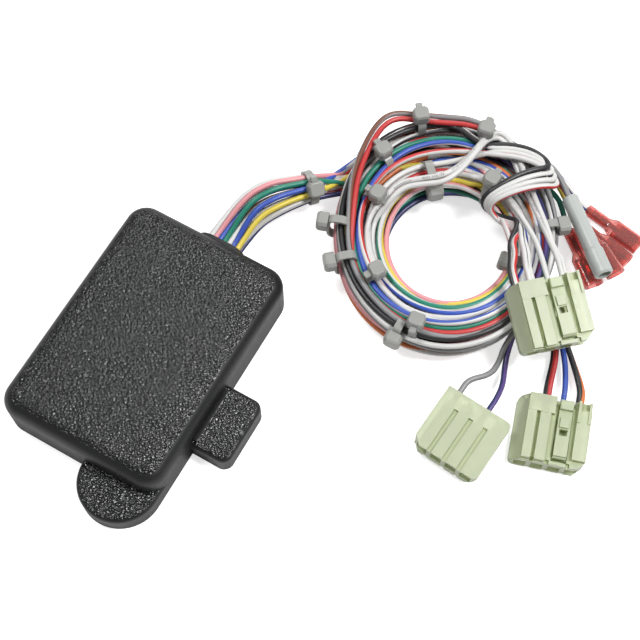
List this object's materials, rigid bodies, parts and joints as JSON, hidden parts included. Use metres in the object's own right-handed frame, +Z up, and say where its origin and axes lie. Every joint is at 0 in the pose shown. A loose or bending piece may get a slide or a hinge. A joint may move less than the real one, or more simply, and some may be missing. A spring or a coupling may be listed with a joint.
{
  "type": "brake controller unit",
  "caption": "Flat black controller case with a coiled multi-wire harness that ends in latching four-way connectors, insulated blade disconnects and a bullet sleeve.",
  "frame": {"origin": "centre of the flat base face of the controller case, which lies on the ground plane", "axes": "+Z up out of the base face; +Y along the long side of the case towards the wire exit; +X to the right, towards the side boss"},
  "size_m": [0.1635, 0.1826, 0.0268],
  "materials": {
    "case_black": "fine haircell texture on the top faces, satin sides",
    "screw_steel": "plain zinc",
    "grommet_rubber": "matt",
    "board_green": "solder mask",
    "chip_black": "moulded epoxy",
    "relay_plastic": "moulded",
    "capacitor_can": "drawn can",
    "wire_jacket": "extruded jacket, many colours",
    "tie_nylon": "natural nylon",
    "connector_nylon": "translucent pale green nylon",
    "latch_nylon": "translucent pale green nylon",
    "contact_brass": "tinned on the outside in part",
    "sleeve_red": "translucent red nylon",
    "blade_copper": "bright copper alloy",
    "sleeve_natural": "milky natural nylon"
  },
  "bodies": {
    "unit": {"base_plate": "case_black", "base_screws": "screw_steel", "blade_contact_1": "blade_copper", "blade_contact_2": "blade_copper", "blade_contact_3": "blade_copper", "blade_contact_4": "blade_copper", "blade_sleeve_1": "sleeve_red", "blade_sleeve_2": "sleeve_red", "blade_sleeve_3": "sleeve_red", "blade_sleeve_4": "sleeve_red", "board_screws": "screw_steel", "bullet_sleeve": "sleeve_natural", "bullet_socket": "contact_brass", "capacitors": "capacitor_can", "circuit_board": "board_green", "clamp_diode": "chip_black", "connector_a_contacts": "contact_brass", "connector_a_housing": "connector_nylon", "connector_b_contacts": "contact_brass", "connector_b_housing": "connector_nylon", "connector_c_contacts": "contact_brass", "connector_c_housing": "connector_nylon", "inertia_sensor": "chip_black", "inner_leads": "wire_jacket", "microcontroller": "chip_black", "power_transistors": "chip_black", "switching_relay": "relay_plastic", "tail_a": "wire_jacket", "tail_b": "wire_jacket", "tail_blade_1": "wire_jacket", "tail_blade_2": "wire_jacket", "tail_blade_3": "wire_jacket", "tail_blade_4": "wire_jacket", "tail_bullet": "wire_jacket", "tail_c": "wire_jacket", "tie_01": "tie_nylon", "tie_02": "tie_nylon", "tie_03": "tie_nylon", "tie_04": "tie_nylon", "tie_05": "tie_nylon", "tie_06": "tie_nylon", "tie_07": "tie_nylon", "tie_08": "tie_nylon", "tie_09": "tie_nylon", "tie_10": "tie_nylon", "tie_11": "tie_nylon", "tie_12": "tie_nylon", "top_shell": "case_black", "wire_bundle": "wire_jacket", "wire_coil": "wire_jacket", "wire_grommet": "grommet_rubber"},
    "latch_a": {"connector_a_latch": "latch_nylon"},
    "latch_b": {"connector_b_latch": "latch_nylon"},
    "latch_c": {"connector_c_latch": "latch_nylon"}
  },
  "joints": [
    {"name": "latch_a_press", "type": "hinge", "parent": "unit", "child": "latch_a", "pos_m": [0.11306, 0.06268, 0.02148], "axis": [-0.7431, -0.6691, 0], "range_deg": [0, 4], "stiffness_Nm_per_rad": 0.02},
    {"name": "latch_b_press", "type": "hinge", "parent": "unit", "child": "latch_b", "pos_m": [0.09436, 0.01522, 0.0027], "axis": [0.9962, -0.0872, 0], "range_deg": [0, 4], "stiffness_Nm_per_rad": 0.02},
    {"name": "latch_c_press", "type": "hinge", "parent": "unit", "child": "latch_c", "pos_m": [0.12731, 0.03126, 0.0072], "axis": [-0.9548, -0.2974, 0], "range_deg": [0, 4], "stiffness_Nm_per_rad": 0.02}
  ]
}
